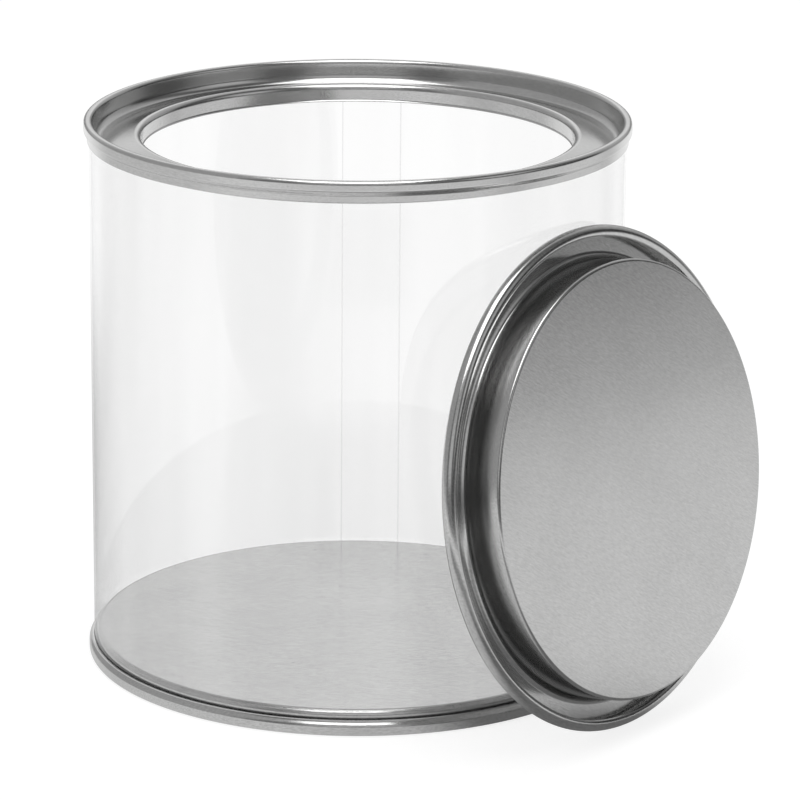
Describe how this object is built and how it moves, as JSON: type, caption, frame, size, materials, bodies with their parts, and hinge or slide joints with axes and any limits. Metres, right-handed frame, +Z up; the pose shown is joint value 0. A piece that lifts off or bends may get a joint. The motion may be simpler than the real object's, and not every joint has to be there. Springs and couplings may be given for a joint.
{
  "type": "friction lid tin with clear wall",
  "caption": "Round friction-lid tin with a clear rolled wall, tinplate top ring and foot end, and its plug lid leaning on the side.",
  "frame": {"origin": "middle of the foot seam's flat rim, on the can's axis, where the can stands on the floor", "axes": "+Z up along the can's axis towards the opening, +X towards the lid that leans on the can, +Y completes the right-handed frame"},
  "size_m": [0.1052, 0.0874, 0.0888],
  "materials": {
    "tinplate": "satin",
    "clear_sheet": "clear gloss"
  },
  "bodies": {
    "can": {"clear_wall": "clear_sheet", "top_ring": "tinplate", "foot_end": "tinplate"},
    "lid": {"plug_lid": "tinplate"}
  },
  "joints": [
    {"name": "lid_seating", "type": "hinge", "parent": "can", "child": "lid", "pos_m": [0.04561, 0, 0.08436], "axis": [-0.0159, -0.9998, 0.0136], "range_deg": [0, 260.99]}
  ]
}
